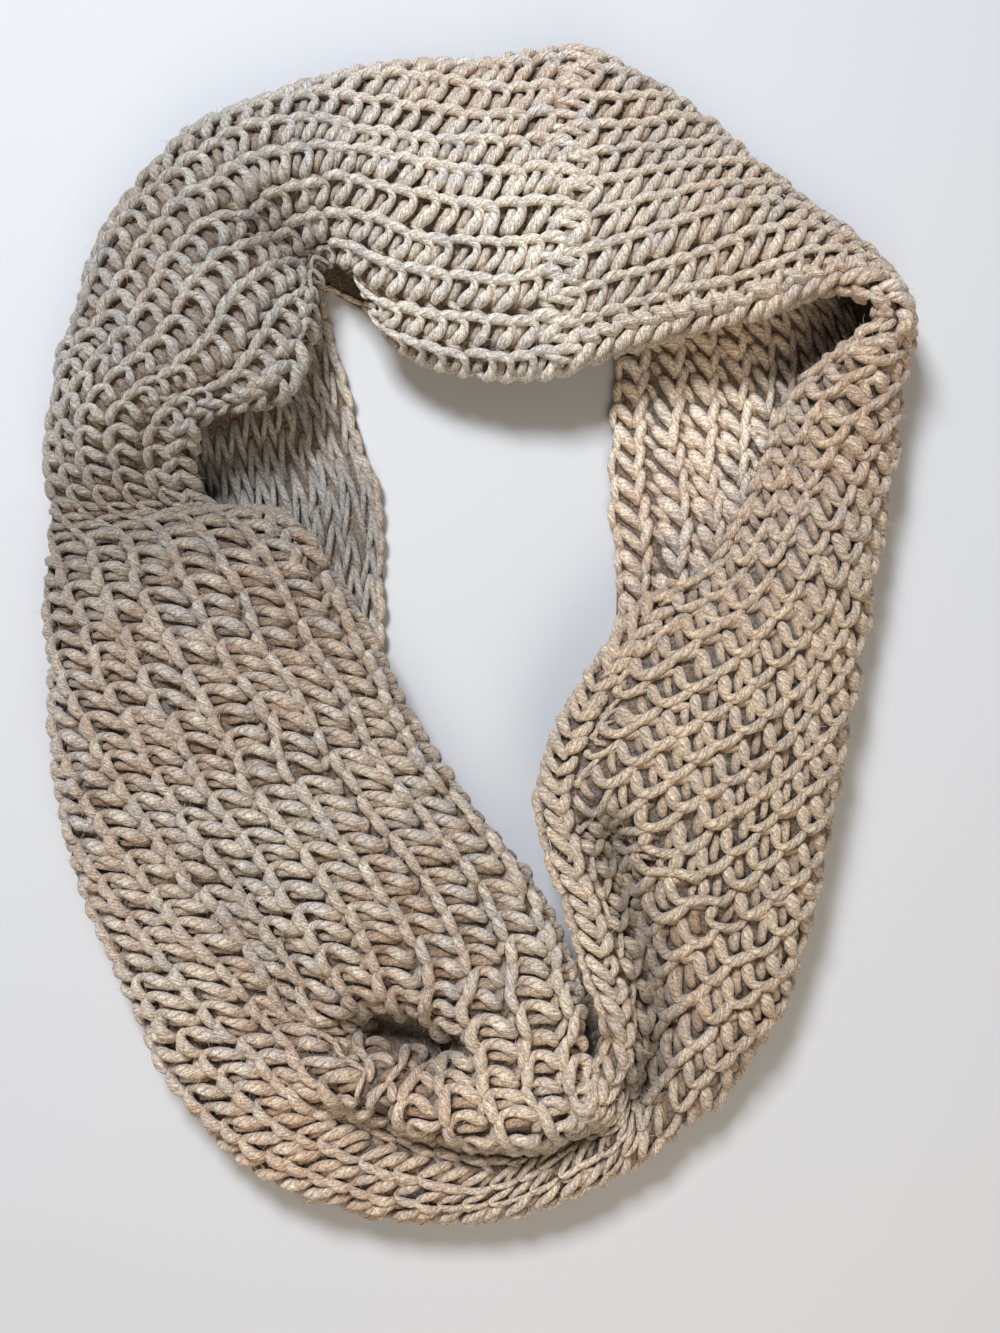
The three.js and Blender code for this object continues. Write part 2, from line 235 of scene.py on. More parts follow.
COLUMN_FAT_LEG = (
    (-0.16, 0.36, 0.10, 0.70),
    (0.14, 0.46, 0.90, 1.25),
    (0.46, 0.63, 1.15, 1.48),
    (0.80, 0.80, 0.90, 1.25),
    (1.06, 0.90, 0.00, 0.70),
)
COLUMN_THIN_LEG = (
    (-0.16, 0.34, 0.10, 0.70),
    (0.20, 0.29, 0.90, 1.00),
    (0.60, 0.21, 1.00, 1.08),
    (0.98, 0.15, 0.70, 0.95),
    (1.20, 0.16, 0.00, 0.70),
)
COLUMN_PURL = (
    (0.02, 0.80, -0.10, 0.80),
    (0.26, 0.92, 0.60, 1.05),
    (0.54, 1.04, 0.70, 1.05),
    (0.80, 1.18, -0.10, 0.80),
)
STRETCHED_LOW_LEG = (
    (-0.14, 0.235, 0.20, 0.75),
    (0.20, 0.200, 0.95, 0.98),
    (0.58, 0.130, 1.00, 1.02),
    (0.95, 0.060, 0.60, 0.92),
    (1.20, 0.065, -0.20, 0.65),
)
STRETCHED_HIGH_LEG = (
    (-0.14, 0.265, 0.20, 0.75),
    (0.20, 0.300, 0.95, 1.02),
    (0.58, 0.370, 1.00, 1.10),
    (0.95, 0.440, 0.60, 0.96),
    (1.20, 0.435, -0.20, 0.65),
)
CHAIN_INNER_LEG = (
    (-0.12, 0.54, 0.40, 0.70),
    (0.14, 0.42, 1.15, 1.10),
    (0.50, 0.26, 1.20, 1.25),
    (0.86, 0.14, 0.70, 1.05),
    (1.12, 0.16, -0.40, 0.70),
)
CHAIN_OUTER_LEG = (
    (-0.12, 0.50, 0.40, 0.70),
    (0.14, 0.62, 1.20, 1.10),
    (0.50, 0.78, 1.25, 1.25),
    (0.86, 0.90, 0.80, 1.05),
    (1.12, 0.86, -0.30, 0.70),
)
CHAIN_SIDE = (
    (-0.12, -0.10, 0.40, 0.75),
    (0.30, -0.20, 0.90, 1.10),
    (0.75, -0.16, 0.85, 1.10),
    (1.15, -0.02, 0.20, 0.75),
)
HEM_RAIL = (
    (-0.10, 0.93, 0.20, 0.60),
    (0.25, 1.00, 0.85, 0.95),
    (0.70, 1.00, 0.90, 0.95),
    (1.08, 0.93, 0.20, 0.60),
)


def smooth(value):
    value = np.clip(value, 0.0, 1.0)
    return value * value * (3.0 - 2.0 * value)


def norm(way):
    return np.linalg.norm(way, axis=-1, keepdims=True)


def unit(way):
    return way / np.maximum(norm(way), 1e-9)


def summed(steps):
    """How far each end of a row of steps is from the first."""
    return np.concatenate([[0.0], np.cumsum(steps)])


def hermite(p1, p2, t1, t2, w):
    """The cubic from p1 to p2 with the tangents t1 and t2, at the share w of the way."""
    return p1 + t1 * w + (-3 * p1 + 3 * p2 - 2 * t1 - t2) * w**2 + (2 * p1 - 2 * p2 + t1 + t2) * w**3


def centripetal(p0, p1, p2, p3, w):
    """A smooth curve from p1 to p2 whose neighbours are p0 and p3, which never loops back on itself."""
    gaps = [np.sum((a - b) ** 2, axis=-1, keepdims=True) ** 0.25 for a, b in ((p0, p1), (p1, p2), (p2, p3))]
    d0, d1, d2 = (np.maximum(gap, 1e-4) for gap in gaps)
    t1 = ((p1 - p0) / d0 - (p2 - p0) / (d0 + d1) + (p2 - p1) / d1) * d1
    t2 = ((p2 - p1) / d1 - (p3 - p1) / (d1 + d2) + (p3 - p2) / d2) * d1
    return hermite(p1, p2, t1, t2, w)


def round_the_loop(rows, places, even=False):
    """A closed smooth curve through one row of numbers for each section, at places counted in sections."""
    rows = np.array(rows, float)
    first = np.floor(places).astype(int)
    w = (places - first)[:, None]
    p0, p1, p2, p3 = (rows[(first + k) % len(rows)] for k in (-1, 0, 1, 2))
    if even:
        return hermite(p1, p2, (p2 - p0) / 2, (p3 - p1) / 2, w)
    return centripetal(p0, p1, p2, p3, w)


def through_points(points, samples_a_span):
    """Open smooth curves through points of shape (curves, points, numbers)."""
    before = 2 * points[:, :1] - points[:, 1:2]
    after = 2 * points[:, -1:] - points[:, -2:-1]
    p = np.concatenate([before, points, after], axis=1)
    w = (np.arange(samples_a_span) / samples_a_span)[None, None, :, None]
    spans = centripetal(p[:, :-3, None], p[:, 1:-2, None], p[:, 2:-1, None], p[:, 3:, None], w)
    spans = spans.reshape(len(points), -1, points.shape[-1])
    return np.concatenate([spans, points[:, -1:]], axis=1)


def fold_height(plan, folds=FOLDS):
    """How far the soft folds lift or sink the upper layer at places in plan."""
    height = np.zeros(plan.shape[:-1])
    for _name, width, depth, taper, line in folds:
        line = np.array(line, float)
        runs = np.linalg.norm(np.diff(line, axis=0), axis=1)
        starts = summed(runs)
        nearest = np.full(height.shape, np.inf)
        along = np.zeros(height.shape)
        for a, b, start, run in zip(line[:-1], line[1:], starts, runs):
            share = np.clip((plan - a) @ (b - a) / run**2, 0.0, 1.0)
            distance = np.linalg.norm(plan - a - share[..., None] * (b - a), axis=-1)
            closer = distance < nearest
            nearest = np.where(closer, distance, nearest)
            along = np.where(closer, (start + share * run) / starts[-1], along)
        ends = smooth(along / taper) * smooth((1 - along) / taper) if taper else 1.0
        height += depth * ends * np.exp(-((nearest / width) ** 2))
    return height


def section_lines(places):
    """The middle of the wall along each section, from the rim to the hem, and the counts of its ribs."""
    rim = round_the_loop([row[1] for row in SECTIONS], places)
    high = round_the_loop([row[2] for row in SECTIONS], places, even=True)
    reach = round_the_loop([row[3] for row in SECTIONS], places)
    hem = round_the_loop([(*row[4], WALL / 2) for row in SECTIONS], places)
    counts = round_the_loop([row[5:9] for row in SECTIONS], places, even=True)
    bow = counts[:, 3:]
    outwards = reach[:, :2] - rim[:, :2]
    full = norm(outwards)
    run = full - WALL / 2 - RIB_RISE
    outwards = outwards * run / full
    sideways = np.stack([-outwards[:, 1], outwards[:, 0]], axis=1) / run
    fold = np.hstack([rim[:, :2] + outwards, reach[:, 2:]])
    inwards = hem[:, :2] - fold[:, :2]

    control = [rim]
    for k, (share, bent) in enumerate(zip(QUARTERS, BOW_SHARES)):
        plan = rim[:, :2] + share * outwards + bent * bow * sideways
        control.append(np.hstack([plan, high[:, k : k + 1]]))
    shoulder = 1 - np.minimum(SHOULDER_RUN / run, MOST_SHOULDER)
    shoulder_height = fold[:, 2:] + SHOULDER_SHARE * (high[:, 2:] - fold[:, 2:])
    control.append(np.hstack([rim[:, :2] + shoulder * outwards, shoulder_height]))
    control.append(fold)
    under = np.minimum(UNDER_RUN / norm(inwards), MOST_UNDER)
    for k, share in enumerate((under, *LOWER_SHARES)):
        level = np.full((len(places), 1), WALL / 2 + (UNDER_LIFT if k == 0 else 0.0))
        control.append(np.hstack([fold[:, :2] + share * inwards, level]))
    control.append(hem)

    lines = through_points(np.stack(control, axis=1), SAMPLES_A_SPAN)
    upper = UPPER_SPANS * SAMPLES_A_SPAN
    top = lines[:, :upper]
    share = np.arange(upper) / upper
    fade = 1 - smooth((share - FOLD_FADE[0]) / (FOLD_FADE[1] - FOLD_FADE[0]))
    from_rim = np.linalg.norm(top[..., :2] - rim[:, None, :2], axis=-1)
    top[..., 2] += fold_height(top[..., :2]) * fade * smooth(from_rim / RIM_BAND)
    lines[..., 2] = np.maximum(lines[..., 2], WALL / 2)
    return lines, counts[:, 0], np.maximum(counts[:, 1:3], 0.0)


def rib_counts(along, over, crowd, crease):
    """The rib count, from the rim, at each distance along a section."""
    fold_along = along[UPPER_SPANS * SAMPLES_A_SPAN]
    lower_run = along[-1] - fold_along
    lower_ribs = RIBS - over
    squeeze = np.clip(1 - lower_run / (HEM_PITCH * lower_ribs), 0, MOST_SQUEEZE)
    upper = along / fold_along * (over - crowd) + crowd * smooth((along - crease) / CREASE_RUN)
    from_hem = (along[-1] - along) / lower_run
    lower = RIBS - lower_ribs * ((1 - squeeze) * from_hem + squeeze * from_hem**5)
    return np.where(along <= fold_along, upper, lower)


def band_points(places, counts):
    """Points of the wall's middle at every place and rib count, and the ribs on the upper layer there."""
    lines, overs, creases = section_lines(places)
    points = np.zeros((len(places), len(counts), 3))
    for k, (line, over, (crowd, crease)) in enumerate(zip(lines, overs, creases)):
        along = summed(np.linalg.norm(np.diff(line, axis=0), axis=1))
        at = rib_counts(along, over, crowd, crease)
        for axis in range(3):
            points[k, :, axis] = np.interp(counts, at, line[:, axis])
    return points, overs


def between_points(grid, i, j, s, t):
    """A value at the shares s and t between four points of a grid that closes round its first axis."""
    n = len(grid)
    near = grid[i % n, j] * (1 - t) + grid[i % n, j + 1] * t
    far = grid[(i + 1) % n, j] * (1 - t) + grid[(i + 1) % n, j + 1] * t
    return near * (1 - s) + far * s


class KnitBand:
    """The band as a surface: a place is a stitch number round the loop and a rib count from the rim."""

    def __init__(self):
        fine = np.arange(len(SECTIONS) * PLACES_A_SECTION) / PLACES_A_SECTION
        rough, _overs = band_points(fine, MEASURED_COUNTS)
        steps = np.linalg.norm(np.roll(rough, -1, axis=0) - rough, axis=-1).mean(axis=1)
        run = summed(steps)
        ends = np.concatenate([fine, [len(SECTIONS)]])
        steps = STITCHES * STEPS_A_STITCH
        wanted = np.arange(steps) / steps * run[-1]
        self.places = np.interp(wanted, run, ends)
        counts = np.arange(RIBS * STEPS_A_RIB + 1) / STEPS_A_RIB
        self.points, self.overs = band_points(self.places, counts)
        along = np.roll(self.points, -2, axis=0) - np.roll(self.points, 2, axis=0)
        padded = np.pad(self.points, ((0, 0), (3, 3), (0, 0)), mode="edge")
        across = padded[:, 6:] - padded[:, :-6]
        self.normals = unit(np.cross(across, along))
        self.tension = np.random.default_rng(SEED).normal(0.0, 1.0, (*TENSION_CELLS, 3))

    def wander(self, stitch, count):
        """How far uneven tension moves the yarn at a place: along the rib, across it and in height."""
        cells, rows = TENSION_CELLS
        u = np.asarray(stitch) / STITCHES * cells
        v = np.clip(np.asarray(count) / RIBS, 0.0, 0.999) * (rows - 1)
        i, j = np.floor(u).astype(int), np.floor(v).astype(int)
        s, t = smooth(u - i)[..., None], smooth(v - j)[..., None]
        return between_points(self.tension, i, j, s, t) * TENSION_MOVES

    def read(self, grid, stitch, count):
        """A grid's value between its points. Past an edge it goes straight on."""
        u = np.asarray(stitch) * STEPS_A_STITCH
        v = np.asarray(count) * STEPS_A_RIB
        i = np.floor(u).astype(int)
        j = np.clip(np.floor(v).astype(int), 0, grid.shape[1] - 2)
        return between_points(grid, i, j, (u - i)[..., None], (v - j)[..., None])

    def at(self, stitch, count, height=0.0):
        """A point at a height over the middle of the wall, outwards. The rim rolls under."""
        within = np.maximum(count, ROLL_START)
        normal = self.read(self.normals, stitch, np.minimum(within, RIBS))
        point = self.read(self.points, stitch, within)
        start = np.full(np.shape(within), ROLL_START)
        edge = unit(self.read(self.points, stitch, start) - self.read(self.points, stitch, start + 0.5))
        turn = np.maximum(ROLL_START - np.asarray(count), 0.0) * ROLL_PITCH / ROLL_RADIUS
        turn = np.minimum(turn, MOST_ROLL)[..., None]
        point = point + edge * ROLL_RADIUS * np.sin(turn) - normal * ROLL_RADIUS * (1 - np.cos(turn))
        return point + (normal * np.cos(turn) + edge * np.sin(turn)) * np.asarray(height)[..., None]

    def ways(self, stitch, count):
        """The ways along a rib and across it at a place, one stitch and one rib long."""
        along = self.read(self.points, stitch + 0.5, count) - self.read(self.points, stitch - 0.5, count)
        low = self.read(self.points, stitch, np.clip(count - 0.5, 0, RIBS))
        high = self.read(self.points, stitch, np.clip(count + 0.5, 0, RIBS))
        return along, high - low

    def slant(self, stitch, count):
        """How far, in stitches, a rib's neighbour is shifted along it."""
        along, across = self.ways(stitch, count)
        return np.sum(across * along, axis=-1) / np.maximum(np.sum(along * along, axis=-1), 1e-6)

    def pitch(self, stitch, count):
        """How wide a rib is at a place, square to it."""
        along, across = self.ways(stitch, count)
        along = unit(along)
        across = across - np.sum(across * along, axis=-1, keepdims=True) * along
        return np.linalg.norm(across, axis=-1)

    def over(self, stitch):
        """How many ribs lie on the upper layer at a stitch."""
        steps = np.arange(len(self.overs))
        return np.interp(np.asarray(stitch) * STEPS_A_STITCH, steps, self.overs, period=len(steps))

    def place(self, stitch):
        """Where a stitch is, counted in sections."""
        steps = np.arange(len(self.places))
        return np.interp(np.asarray(stitch) * STEPS_A_STITCH % len(steps), steps, self.places)


# Making yarn

OUTER_BASE, OUTER_RISE = 0.9, 2.7
INNER_BASE, INNER_RISE = 0.8, 1.7
LOOP_SAMPLES, LEG_SAMPLES, BAR_SAMPLES = 2, 2, 1
# Painted light on the inner faces: how much lighter their wool is painted, and the warmth it is given.
INNER_FACE_PAINTED_LIGHT = {"column": (1.34, -0.1), "stretched": (1.10, -1.5)}

# The wool's colour at places round the loop, counted in sections: how light it is, and how warm. It is
# partly the yarn's own slow drift of colour and partly painted shade and painted light: darker on the shaded
# valley and slopes, and cooler towards the window light.
WOOL_DYES_AND_PAINTED_LIGHT = (
    (0.0, 1.08, -1.1), (2.0, 1.05, -1.2), (4.0, 0.70, -1.6), (7.0, 0.64, -1.4), (8.5, 0.47, 0.2),
    (10.0, 0.48, 0.0), (11.3, 0.76, -0.5), (13.0, 0.88, -0.4), (14.5, 1.00, 0.6), (17.0, 1.00, 0.5),
    (18.5, 0.92, 0.7), (20.0, 0.84, 1.0), (23.0, 0.82, 1.1), (25.0, 0.92, 0.8), (26.0, 0.97, 0.0),
    (28.0, 0.90, 0.0), (29.0, 0.95, -0.4), (30.0, 1.08, -1.1),
)
WARMTH = (0.03, -0.03, -0.10)
# Painted shade in the folds: wool this deep in a fold is darkened by this share.
FULL_FOLD, FOLD_SHADE = 22.0, 0.5


def share_within(place, places):
    """A share that is full between the two middle places and fades to none at the outer two."""
    start, full, last, end = places
    return smooth((place - start) / (full - start)) * smooth((end - place) / (end - last))


def wool_dye_and_painted_light(place, face):
    """The wool's colour, against its usual one, with painted shade and painted light in it. It changes round
    the loop, and on the inner side, which is painted lighter.
    """
    places, lightness, warmth = np.transpose(WOOL_DYES_AND_PAINTED_LIGHT)
    light, warm = np.interp(place, places, lightness), np.interp(place, places, warmth)
    if face in INNER_FACE_PAINTED_LIGHT:
        light, warm = light * INNER_FACE_PAINTED_LIGHT[face][0], np.full(len(place), INNER_FACE_PAINTED_LIGHT[face][1])
    return light[:, None] * (1 + warm[:, None] * WARMTH)


def stitch_lines(band, shape, stitches, ribs, spans, face, rng, samples, thickness=1.0, wide=1):
    """Centrelines of a stitch shape, some ribs wide, at many places, and the yarn's girth, lift and dye,
    with painted shade and light in the dye.
    """
    shape = np.broadcast_to(shape, (len(stitches), *np.shape(shape)[-2:])).copy()
    shift = SEAM_SHIFT * (0.5 - stitches / STITCHES) * smooth(ribs / 2) * smooth((RIBS - 1 - ribs) / 2)
    shift = shift + (RIB_SHIFT if face == "rib" else 0.0)
    middle = np.clip(ribs + shift + 0.5 * wide, 0.5, RIBS - 0.5)
    pitch = wide * band.pitch(stitches + spans / 2, middle)
    if face == "rib":
        reach = np.minimum(LEG_REACH / pitch, 1.0)[:, None]
        upright = share_within(band.place(stitches), UPRIGHT_PLACES)
        lean = np.minimum(pitch / USUAL_PITCH, 1.0)[:, None] ** 0.5
        lies_behind = np.max(shape[..., 2], axis=1, keepdims=True) < 1.0
        shape[..., 2] += (UPRIGHT_LIFT * upright)[:, None] * lies_behind
        leg = shape[..., 1] < LEG_END
        shape[..., 0] = np.where(leg, shape[..., 0] * lean, shape[..., 0])
        shape[..., 1] = np.where(leg, shape[..., 1] * reach, shape[..., 1])
    shape[..., 0] *= spans[:, None]
    shape[..., 1] *= wide
    loose = rng.normal(0.0, 1.0, (len(stitches), 1, 3)) * LOOSE_MOVES
    start = np.stack([stitches, ribs + shift, np.zeros(len(stitches))], axis=1)
    way = start[:, None] + shape[..., :3] + loose
    slant = band.slant(stitches, middle)
    spare = slant - np.clip(slant, -MOST_SLANT, MOST_SLANT)
    way[..., 0] -= spare[:, None] * (shape[..., 1] - 0.5 * wide)
    way = way + band.wander(way[..., 0], way[..., 1])
    stitch, count, lift = way[..., 0], way[..., 1], way[..., 2]
    room = np.clip(pitch / USUAL_PITCH, LEAST_ROOM, MOST_ROOM)
    if face not in INNER_FACE_PAINTED_LIGHT:
        height = OUTER_BASE + OUTER_RISE * lift * room[:, None]
    else:
        height = -INNER_BASE - INNER_RISE * lift * room[:, None]
    girth = YARN_RADIUS * thickness * room**THINNING * rng.normal(1.0, STITCH_GIRTH_SPREAD, len(stitches))
    girths = girth[:, None] * shape[..., 3]
    points = band.at(stitch, count, height)
    lines = through_points(np.concatenate([points, girths[..., None], lift[..., None]], axis=-1), samples)
    slubs = rng.normal(1.0, SLUB_SPREAD, lines.shape[:2])
    slubs[:, 1:-1] = (slubs[:, :-2] + slubs[:, 1:-1] + slubs[:, 2:]) / 3
    girths = lines[..., 3] * slubs
    dye = np.repeat(wool_dye_and_painted_light(band.place(stitches), face)[:, None], lines.shape[1], axis=1)
    # Painted shade: wool deep in a soft fold is darkened.
    if face not in INNER_FACE_PAINTED_LIGHT:
        sunk = np.clip(-fold_height(lines[..., :2]) / FULL_FOLD, 0.0, 1.0)
        dye = dye * (1 - FOLD_SHADE * sunk[..., None])
    build = np.concatenate([np.stack([girths * MM, lines[..., 4]], axis=-1), dye], axis=-1)
    lines = lines[..., :3]
    lines[..., 2] = np.maximum(lines[..., 2], girths * LOWEST_YARN)
    return lines * MM, build


def add_object(name, data):
    thing = bpy.data.objects.new(name, data)
    bpy.context.scene.collection.objects.link(thing)
    return thing


def polyline_object(name, batches):
    """An object of loose edges along yarn centrelines, with the yarn's girth, lift and dye (with painted
    shade and light) as attributes.
    """
    points, builds, edges, start = [], [], [], 0
    for lines, build in batches:
        count, length = lines.shape[:2]
        points.append(lines.reshape(-1, 3))
        builds.append(build.reshape(-1, 5))
        index = start + np.arange(count * length).reshape(count, length)
        edges.append(np.stack([index[:, :-1], index[:, 1:]], axis=-1).reshape(-1, 2))
        start += count * length
    points, builds, edges = (np.concatenate(part) for part in (points, builds, edges))
    mesh = bpy.data.meshes.new(name)
    mesh.vertices.add(len(points))
    mesh.vertices.foreach_set("co", points.astype(np.float32).ravel())
    mesh.edges.add(len(edges))
    mesh.edges.foreach_set("vertices", edges.astype(np.int32).ravel())
    for label, values in zip(("girth", "lift"), builds.T):
        attribute = mesh.attributes.new(label, "FLOAT", "POINT")
        attribute.data.foreach_set("value", np.ascontiguousarray(values, np.float32))
    attribute = mesh.attributes.new("dye", "FLOAT_VECTOR", "POINT")
    attribute.data.foreach_set("vector", np.ascontiguousarray(builds[:, 2:], np.float32).ravel())
    mesh.update()
    return add_object(name, mesh)


class Nodes:
    """The nodes of a tree, and short ways to add to them."""

    def __init__(self, tree):
        self.tree = tree

    def fill(self, node, inputs):
        """Gives a node's inputs what they take: the output of another node, or a plain value."""
        for label, value in inputs.items():
            if isinstance(value, bpy.types.NodeSocket):
                self.tree.links.new(value, node.inputs[label])
            else:
                node.inputs[label].default_value = value

    def add(self, kind, inputs=None, **settings):
        """Adds a node and returns its outputs."""
        node = self.tree.nodes.new(kind)
        for name, value in settings.items():
            setattr(node, name, value)
        self.fill(node, inputs or {})
        return node.outputs

    def math(self, operation, *values):
        return self.add("ShaderNodeMath", dict(enumerate(values)), operation=operation)[0]

    def mix(self, factor, a, b, kind="MIX"):
        inputs = {"Factor": factor, "A": a, "B": b}
        return self.add("ShaderNodeMix", inputs, data_type="RGBA", blend_type=kind)["Result"]

    def spread(self, value, low, high, least=0.0, most=1.0, kind="LINEAR"):
        """Takes what lies between two ends to between two others."""
        inputs = {"Value": value, "From Min": low, "From Max": high, "To Min": least, "To Max": most}
        return self.add("ShaderNodeMapRange", inputs, interpolation_type=kind)["Result"]

    def noise(self, where, scale, detail):
        return self.add("ShaderNodeTexNoise", {"Vector": where, "Scale": scale, "Detail": detail})["Fac"]

    def grey(self, value):
        return self.add("ShaderNodeCombineColor", {"Red": value, "Green": value, "Blue": value})["Color"]

    def stored(self, name, output):
        return self.add("ShaderNodeAttribute", attribute_name=name)[output]

    def object_place(self):
        return self.add("ShaderNodeTexCoord")["Object"]

    def bump(self, height, strength, distance):
        inputs = {"Height": height, "Strength": strength, "Distance": distance}
        return self.add("ShaderNodeBump", inputs)["Normal"]

    def store(self, geometry, name, kind, value):
        """Stores a field on a geometry's points, to be read by a material."""
        inputs = {"Geometry": geometry, "Name": name, "Value": value}
        stored = self.add("GeometryNodeStoreNamedAttribute", inputs, data_type=kind, domain="POINT")
        return stored["Geometry"]


def new_group(name, kind, inputs, outputs):
    """A node group with named inputs and outputs. Returns its nodes and what its inputs bring."""
    group = bpy.data.node_groups.new(name, kind)
    for way, sockets in (("INPUT", inputs), ("OUTPUT", outputs)):
        for label, value in sockets.items():
            group.interface.new_socket(label, in_out=way, socket_type=f"NodeSocket{value}")
    nodes = Nodes(group)
    return nodes, nodes.add("NodeGroupInput")


def new_tree(name, **inputs):
    """A Geometry Nodes tree with named inputs after its geometry."""
    geometry = {"Geometry": "Geometry"}
    return new_group(name, "GeometryNodeTree", {**geometry, **inputs}, geometry)


def finish_tree(nodes, geometry, material):
    """Realizes what a tree has made, smooths it and gives it its material."""
    geometry = nodes.add("GeometryNodeRealizeInstances", {"Geometry": geometry})["Geometry"]
    geometry = nodes.add("GeometryNodeSetShadeSmooth", {"Geometry": geometry})["Geometry"]
    painted = nodes.add("GeometryNodeSetMaterial", {"Geometry": geometry, "Material": material})
    nodes.add("NodeGroupOutput", {"Geometry": painted["Geometry"]})
    return nodes.tree


def yarn_tree():
    """Spins yarn along loose edges: a round tube that keeps its length and its turn for the material."""
    nodes, start = new_tree("spin_yarn", Sides="Int", Material="Material")
    curve = nodes.add("GeometryNodeMeshToCurve", {"Mesh": start["Geometry"]})["Curve"]
    length = nodes.add("GeometryNodeSplineParameter")["Length"]
    rail = nodes.store(curve, "along", "FLOAT", length)
    ring = nodes.add("GeometryNodeCurvePrimitiveCircle", {"Resolution": start["Sides"], "Radius": 1.0})
    position = nodes.add("GeometryNodeInputPosition")["Position"]
    profile = nodes.store(ring["Curve"], "turn", "FLOAT_VECTOR", position)
    girth = nodes.add("GeometryNodeInputNamedAttribute", {"Name": "girth"})["Attribute"]
    inputs = {"Curve": rail, "Profile Curve": profile, "Scale": girth, "Fill Caps": True}
    tube = nodes.add("GeometryNodeCurveToMesh", inputs)["Mesh"]
    return finish_tree(nodes, tube, start["Material"])


def fibre_tree():
    """Sets stray fibres over spun yarn, leaning every way."""
    kinds = {"Fibre": "Object", "Density": "Float", "Shortest": "Float", "Longest": "Float", "Lean": "Float"}
    nodes, start = new_tree("stray_fibres", **kinds, Seed="Int", Material="Material")
    seed, lean = start["Seed"], start["Lean"]
    inputs = {"Mesh": start["Geometry"], "Density": start["Density"], "Seed": seed}
    scatter = nodes.add("GeometryNodeDistributePointsOnFaces", inputs)
    fibre = nodes.add("GeometryNodeObjectInfo", {"Object": start["Fibre"]})["Geometry"]
    inputs = {"Min": start["Shortest"], "Max": start["Longest"], "Seed": seed}
    length = nodes.add("FunctionNodeRandomValue", inputs, data_type="FLOAT")["Value"]
    back = nodes.math("MULTIPLY", lean, -1.0)
    least = nodes.add("ShaderNodeCombineXYZ", {"X": back, "Y": back, "Z": -math.pi})["Vector"]
    most = nodes.add("ShaderNodeCombineXYZ", {"X": lean, "Y": lean, "Z": math.pi})["Vector"]
    inputs = {"Min": least, "Max": most, "Seed": seed}
    angles = nodes.add("FunctionNodeRandomValue", inputs, data_type="FLOAT_VECTOR")["Value"]
    inputs = {"Rotation": scatter["Rotation"], "Rotate By": angles}
    turn = nodes.add("FunctionNodeRotateRotation", inputs, rotation_space="LOCAL")["Rotation"]
    inputs = {"Points": scatter["Points"], "Instance": fibre, "Rotation": turn, "Scale": length}
    placed = nodes.add("GeometryNodeInstanceOnPoints", inputs)["Instances"]
    return finish_tree(nodes, placed, start["Material"])


def run_tree(piece, tree, values):
    """Gives a piece the plain mesh that a tree makes of it."""
    modifier = piece.modifiers.new(tree.name, "NODES")
    modifier.node_group = tree
    for item in tree.interface.items_tree:
        if item.item_type == "SOCKET" and item.in_out == "INPUT" and item.name in values:
            modifier[item.identifier] = values[item.name]
    bpy.context.view_layer.update()
    graph = bpy.context.evaluated_depsgraph_get()
    made = bpy.data.meshes.new_from_object(piece.evaluated_get(graph), depsgraph=graph)
    piece.modifiers.remove(modifier)
    old = piece.data
    piece.data = made
    bpy.data.meshes.remove(old)
    made.name = piece.name
    return piece


# Materials

WOOL_LIGHT = (0.77, 0.645, 0.485, 1)
WOOL_WARM = (0.63, 0.465, 0.33, 1)
WOOL_COOL = (0.62, 0.53, 0.44, 1)
# Painted shade: yarn lying low in the knit is darkened towards this brown.
WOOL_PAINTED_SHADE_IN_THE_DEPTH = (0.40, 0.29, 0.20, 1)
UNDIMMED = (1, 1, 1, 1)
FIBRE_PALE = (0.66, 0.54, 0.41, 1)
# Painted shade: the backing's wool is darkened by this share, so the knit between the loops reads as shade.
BACKING_PAINTED_SHADE = 0.30
PLY_PITCH_M = 0.015
# Painted shade in the grooves between the plies, as a share of darkening.
PLY_SHADE = 0.12
# Drifts of colour: the noise's scale, the part of it that shows, its detail, and the tone.
DRIFTS = (
    (9.0, 0.42, 0.62, 2.0, "Light"),
    (13.0, 0.50, 0.85, 2.0, "Cool"),
    (70.0, 0.48, 0.68, 1.0, "Cool"),
    (110.0, 0.50, 0.70, 1.0, "Light"),
)


def new_material(name):
    material = bpy.data.materials.new(name)
    material.use_nodes = True
    return material, Nodes(material.node_tree), material.node_tree.nodes["Principled BSDF"]


def heather_group():
    """Heather: the slow drift of colour through the wool, and the streaks of its fibres."""
    inputs = {"Light": "Color", "Warm": "Color", "Cool": "Color"}
    inputs.update({"Streaks": "Vector", "Streak Strength": "Float"})
    wool, start = new_group("heather_wool", "ShaderNodeTree", inputs, {"Color": "Color", "Fibre": "Float"})
    where = wool.object_place()
    colour = start["Warm"]
    for scale, low, high, detail, tone in DRIFTS:
        colour = wool.mix(wool.spread(wool.noise(where, scale, detail), low, high), colour, start[tone])
    fibre = wool.noise(start["Streaks"], scale=1.0, detail=3.0)
    streaks = wool.grey(wool.spread(fibre, 0.3, 0.7, least=0.48, most=1.42))
    colour = wool.mix(start["Streak Strength"], colour, streaks, "MULTIPLY")
    specks = wool.noise(where, scale=950.0, detail=2.0)
    specks = wool.grey(wool.spread(specks, 0.30, 0.70, least=0.62, most=1.32))
    wool.add("NodeGroupOutput", {"Color": wool.mix(1.0, colour, specks, "MULTIPLY"), "Fibre": fibre})
    return wool.tree


def place_heather(nodes, group, tones, strength, streaks):
    """Places the heather in a material. Returns its colour and its fibres."""
    inputs = dict(zip(("Light", "Warm", "Cool"), tones))
    inputs.update({"Streak Strength": strength, "Streaks": streaks})
    heather = nodes.add("ShaderNodeGroup", inputs, node_tree=group)
    return heather["Color"], heather["Fibre"]


